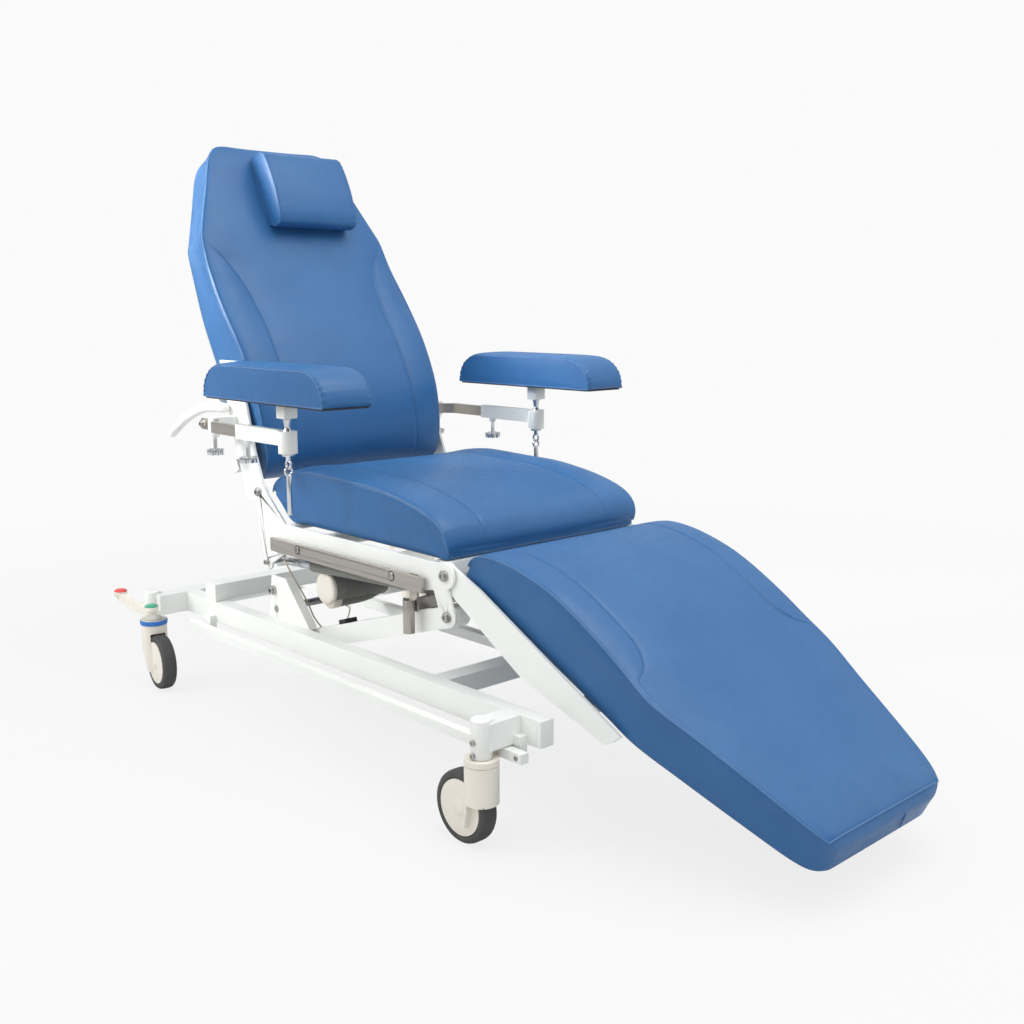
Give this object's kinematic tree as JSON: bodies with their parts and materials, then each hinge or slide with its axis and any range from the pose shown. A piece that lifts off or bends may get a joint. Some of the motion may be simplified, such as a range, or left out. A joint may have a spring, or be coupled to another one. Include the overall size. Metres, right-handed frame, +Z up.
{
  "type": "phlebotomy chair",
  "caption": "Powered blood-draw chair on castors with lift arms, reclining back, rising leg rest, head pillow and adjustable armrests.",
  "frame": {"origin": "on the floor under the middle of the chair's box", "axes": "+Z up, the occupant faces -Y, +X to the occupant's left"},
  "size_m": [0.844, 1.7947, 1.2402],
  "materials": {
    "white_paint": "gloss powder coat",
    "blue_vinyl": "satin vinyl, sewn seams",
    "ivory_plastic": "satin",
    "grey_plastic": "satin",
    "tyre_rubber": "matt",
    "black_rubber": "matt",
    "stainless_steel": "brushed",
    "zinc_steel": "zinc plated",
    "chrome_plate": "polished",
    "cable_sheath": "satin"
  },
  "bodies": {
    "base": {"base_rail_right": "white_paint", "base_rail_left": "white_paint", "base_rear_tube": "white_paint", "base_front_tube": "white_paint", "base_spine": "white_paint", "base_rear_beam": "white_paint", "frame_end_caps": "white_paint", "base_fasteners": "zinc_steel", "lift_towers": "white_paint"},
    "lift_arms": {"lift_arms": "white_paint", "lift_cross_tube": "white_paint", "bump_stops": "black_rubber"},
    "lift_link": {"lift_upper_arm": "white_paint"},
    "lift_motor": {"lift_motor": "grey_plastic"},
    "lift_rod": {"lift_rod": "chrome_plate"},
    "seat": {"seat_plates": "white_paint", "seat_cross_tubes": "white_paint", "accessory_rails": "stainless_steel", "seat_fasteners": "zinc_steel", "pole_socket": "stainless_steel", "seat_cushion": "blue_vinyl", "motor_cable": "cable_sheath"},
    "back": {"back_plates": "white_paint", "back_cross_tubes": "white_paint", "back_cushion": "blue_vinyl", "push_handles": "white_paint", "arm_guides": "white_paint"},
    "pillow": {"head_pillow": "blue_vinyl"},
    "back_motor": {"back_motor": "grey_plastic"},
    "back_rod": {"back_rod": "chrome_plate"},
    "leg": {"leg_frame": "white_paint", "leg_cushion": "blue_vinyl"},
    "leg_motor": {"leg_motor": "grey_plastic"},
    "leg_rod": {"leg_rod": "chrome_plate"},
    "castor_front_right": {"castor_fork_front_right": "ivory_plastic"},
    "wheel_front_right": {"castor_wheel_front_right": "tyre_rubber"},
    "castor_rear_right": {"castor_fork_rear_right": "ivory_plastic"},
    "wheel_rear_right": {"castor_wheel_rear_right": "tyre_rubber"},
    "foot_bar_right": {"foot_bar_right": "white_paint"},
    "brake_pedal_right": {"brake_pedal_right": "ivory_plastic"},
    "slide_bar_right": {"slide_bar_right": "stainless_steel"},
    "arm_tube_right": {"arm_tube_right": "white_paint"},
    "arm_post_right": {"arm_post_right": "chrome_plate"},
    "arm_pad_right": {"arm_pad_right": "blue_vinyl"},
    "clamp_lever_right": {"clamp_lever_right": "chrome_plate"},
    "rear_knob_right": {"rear_knob_right": "chrome_plate"},
    "front_knob_right": {"front_knob_right": "chrome_plate"},
    "castor_front_left": {"castor_fork_front_left": "ivory_plastic"},
    "wheel_front_left": {"castor_wheel_front_left": "tyre_rubber"},
    "castor_rear_left": {"castor_fork_rear_left": "ivory_plastic"},
    "wheel_rear_left": {"castor_wheel_rear_left": "tyre_rubber"},
    "foot_bar_left": {"foot_bar_left": "white_paint"},
    "brake_pedal_left": {"brake_pedal_left": "ivory_plastic"},
    "slide_bar_left": {"slide_bar_left": "stainless_steel"},
    "arm_tube_left": {"arm_tube_left": "white_paint"},
    "arm_post_left": {"arm_post_left": "chrome_plate"},
    "arm_pad_left": {"arm_pad_left": "blue_vinyl"},
    "clamp_lever_left": {"clamp_lever_left": "chrome_plate"},
    "rear_knob_left": {"rear_knob_left": "chrome_plate"},
    "front_knob_left": {"front_knob_left": "chrome_plate"}
  },
  "joints": [
    {"name": "lift", "type": "hinge", "parent": "base", "child": "lift_arms", "pos_m": [0, 0.329, 0.175], "axis": [-1, 0, 0], "range_deg": [0, 28]},
    {"name": "upper_link", "type": "hinge", "parent": "base", "child": "lift_link", "pos_m": [0, 0.389, 0.237], "axis": [-1, 0, 0], "range_deg": [0, 28]},
    {"name": "seat_level", "type": "hinge", "parent": "lift_arms", "child": "seat", "pos_m": [0, -0.16828, 0.32703], "axis": [-1, 0, 0], "range_deg": [-28, 0]},
    {"name": "lift_motor_tilt", "type": "hinge", "parent": "base", "child": "lift_motor", "pos_m": [0.062, -0.1295, 0.2], "axis": [1, 0, 0], "range_deg": [0, 20.06]},
    {"name": "lift_rod_travel", "type": "slide", "parent": "lift_motor", "child": "lift_rod", "axis": [0, 0.9959, 0.0905], "range_m": [0, 0.07664]},
    {"name": "back_recline", "type": "hinge", "parent": "seat", "child": "back", "pos_m": [0, 0.465, 0.481], "axis": [-1, 0, 0], "range_deg": [-12, 50]},
    {"name": "back_motor_tilt", "type": "hinge", "parent": "seat", "child": "back_motor", "pos_m": [0.13, -0.101, 0.357], "axis": [1, 0, 0], "range_deg": [-0.27, 1.1]},
    {"name": "back_rod_travel", "type": "slide", "parent": "back_motor", "child": "back_rod", "axis": [0, 0.9974, 0.0724], "range_m": [-0.07387, 0.01781]},
    {"name": "leg_raise", "type": "hinge", "parent": "seat", "child": "leg", "pos_m": [0, -0.161, 0.402], "axis": [-1, 0, 0], "range_deg": [0, 27]},
    {"name": "leg_rod_tilt", "type": "hinge", "parent": "seat", "child": "leg_rod", "pos_m": [-0.236, 0.439, 0.33], "axis": [-1, 0, 0], "range_deg": [-0.01, 1.29]},
    {"name": "leg_motor_travel", "type": "slide", "parent": "leg_rod", "child": "leg_motor", "axis": [0, -0.9983, 0.0591], "range_m": [0, 0.0143]},
    {"name": "pillow_slide", "type": "slide", "parent": "back", "child": "pillow", "axis": [0, 0.4462, 0.8949], "range_m": [-0.04, 0.01]},
    {"name": "swivel_front_right", "type": "hinge", "parent": "base", "child": "castor_front_right", "pos_m": [-0.38, -0.385, 0.112], "axis": [0, 0, 1], "continuous": true},
    {"name": "roll_front_right", "type": "hinge", "parent": "castor_front_right", "child": "wheel_front_right", "pos_m": [-0.38, -0.346, 0.0625], "axis": [-1, 0, 0], "continuous": true},
    {"name": "swivel_rear_right", "type": "hinge", "parent": "base", "child": "castor_rear_right", "pos_m": [-0.38, 0.772, 0.112], "axis": [0, 0, 1], "continuous": true},
    {"name": "roll_rear_right", "type": "hinge", "parent": "castor_rear_right", "child": "wheel_rear_right", "pos_m": [-0.38475, 0.73329, 0.0625], "axis": [0.9925, -0.1219, 0], "continuous": true},
    {"name": "foot_bar_press_right", "type": "hinge", "parent": "base", "child": "foot_bar_right", "pos_m": [-0.321, 0.329, 0.164], "axis": [0, -1, 0], "range_deg": [0, 8], "stiffness_Nm_per_rad": 60, "springref_deg": -1.15},
    {"name": "brake_pedal_rock_right", "type": "hinge", "parent": "base", "child": "brake_pedal_right", "pos_m": [-0.407, 0.809, 0.184], "axis": [1, 0, 0], "range_deg": [-10, 10]},
    {"name": "arm_bar_slide_right", "type": "slide", "parent": "back", "child": "slide_bar_right", "axis": [0, -1, 0], "range_m": [0, 0.02]},
    {"name": "arm_tube_slide_right", "type": "slide", "parent": "slide_bar_right", "child": "arm_tube_right", "axis": [0, -1, 0], "range_m": [0, 0.06]},
    {"name": "arm_height_right", "type": "slide", "parent": "arm_tube_right", "child": "arm_post_right", "axis": [0, 0, 1], "range_m": [0, 0.025]},
    {"name": "arm_pad_swivel_right", "type": "hinge", "parent": "arm_post_right", "child": "arm_pad_right", "pos_m": [-0.338, 0.232, 0.692], "axis": [0, 0, 1], "range_deg": [-90, 90]},
    {"name": "clamp_lever_turn_right", "type": "hinge", "parent": "arm_tube_right", "child": "clamp_lever_right", "pos_m": [-0.338, 0.232, 0.562], "axis": [0, 0, 1], "range_deg": [-90, 90]},
    {"name": "rear_knob_turn_right", "type": "hinge", "parent": "back", "child": "rear_knob_right", "pos_m": [-0.312, 0.567, 0.562], "axis": [0, 0, 1], "range_deg": [-180, 180]},
    {"name": "front_knob_turn_right", "type": "hinge", "parent": "arm_tube_right", "child": "front_knob_right", "pos_m": [-0.338, 0.384, 0.565], "axis": [0, 0, 1], "range_deg": [-180, 180]},
    {"name": "swivel_front_left", "type": "hinge", "parent": "base", "child": "castor_front_left", "pos_m": [0.38, -0.385, 0.112], "axis": [0, 0, 1], "continuous": true},
    {"name": "roll_front_left", "type": "hinge", "parent": "castor_front_left", "child": "wheel_front_left", "pos_m": [0.38, -0.346, 0.0625], "axis": [-1, 0, 0], "continuous": true},
    {"name": "swivel_rear_left", "type": "hinge", "parent": "base", "child": "castor_rear_left", "pos_m": [0.38, 0.772, 0.112], "axis": [0, 0, 1], "continuous": true},
    {"name": "roll_rear_left", "type": "hinge", "parent": "castor_rear_left", "child": "wheel_rear_left", "pos_m": [0.38475, 0.73329, 0.0625], "axis": [0.9925, 0.1219, 0], "continuous": true},
    {"name": "foot_bar_press_left", "type": "hinge", "parent": "base", "child": "foot_bar_left", "pos_m": [0.321, 0.329, 0.164], "axis": [0, 1, 0], "range_deg": [0, 8], "stiffness_Nm_per_rad": 60, "springref_deg": -1.15},
    {"name": "brake_pedal_rock_left", "type": "hinge", "parent": "base", "child": "brake_pedal_left", "pos_m": [0.407, 0.809, 0.184], "axis": [1, 0, 0], "range_deg": [-10, 10]},
    {"name": "arm_bar_slide_left", "type": "slide", "parent": "back", "child": "slide_bar_left", "axis": [0, -1, 0], "range_m": [0, 0.02]},
    {"name": "arm_tube_slide_left", "type": "slide", "parent": "slide_bar_left", "child": "arm_tube_left", "axis": [0, -1, 0], "range_m": [0, 0.06]},
    {"name": "arm_height_left", "type": "slide", "parent": "arm_tube_left", "child": "arm_post_left", "axis": [0, 0, 1], "range_m": [0, 0.025]},
    {"name": "arm_pad_swivel_left", "type": "hinge", "parent": "arm_post_left", "child": "arm_pad_left", "pos_m": [0.338, 0.232, 0.692], "axis": [0, 0, 1], "range_deg": [-90, 90]},
    {"name": "clamp_lever_turn_left", "type": "hinge", "parent": "arm_tube_left", "child": "clamp_lever_left", "pos_m": [0.338, 0.232, 0.562], "axis": [0, 0, 1], "range_deg": [-90, 90]},
    {"name": "rear_knob_turn_left", "type": "hinge", "parent": "back", "child": "rear_knob_left", "pos_m": [0.312, 0.567, 0.562], "axis": [0, 0, 1], "range_deg": [-180, 180]},
    {"name": "front_knob_turn_left", "type": "hinge", "parent": "arm_tube_left", "child": "front_knob_left", "pos_m": [0.338, 0.384, 0.565], "axis": [0, 0, 1], "range_deg": [-180, 180]}
  ],
  "couplings": [
    {"joint": "upper_link", "follows": "lift", "ratio": 1},
    {"joint": "seat_level", "follows": "lift", "ratio": -1},
    {"joint": "lift_motor_tilt", "follows": "lift", "ratio": 0.71613},
    {"joint": "lift_rod_travel", "follows": "lift", "m_per_rad": 0.15662},
    {"joint": "back_motor_tilt", "follows": "back_recline", "ratio": 0.021729},
    {"joint": "back_rod_travel", "follows": "back_recline", "m_per_rad": -0.084535},
    {"joint": "leg_rod_tilt", "follows": "leg_raise", "ratio": 0.047596},
    {"joint": "leg_motor_travel", "follows": "leg_raise", "m_per_rad": 0.030131}
  ]
}
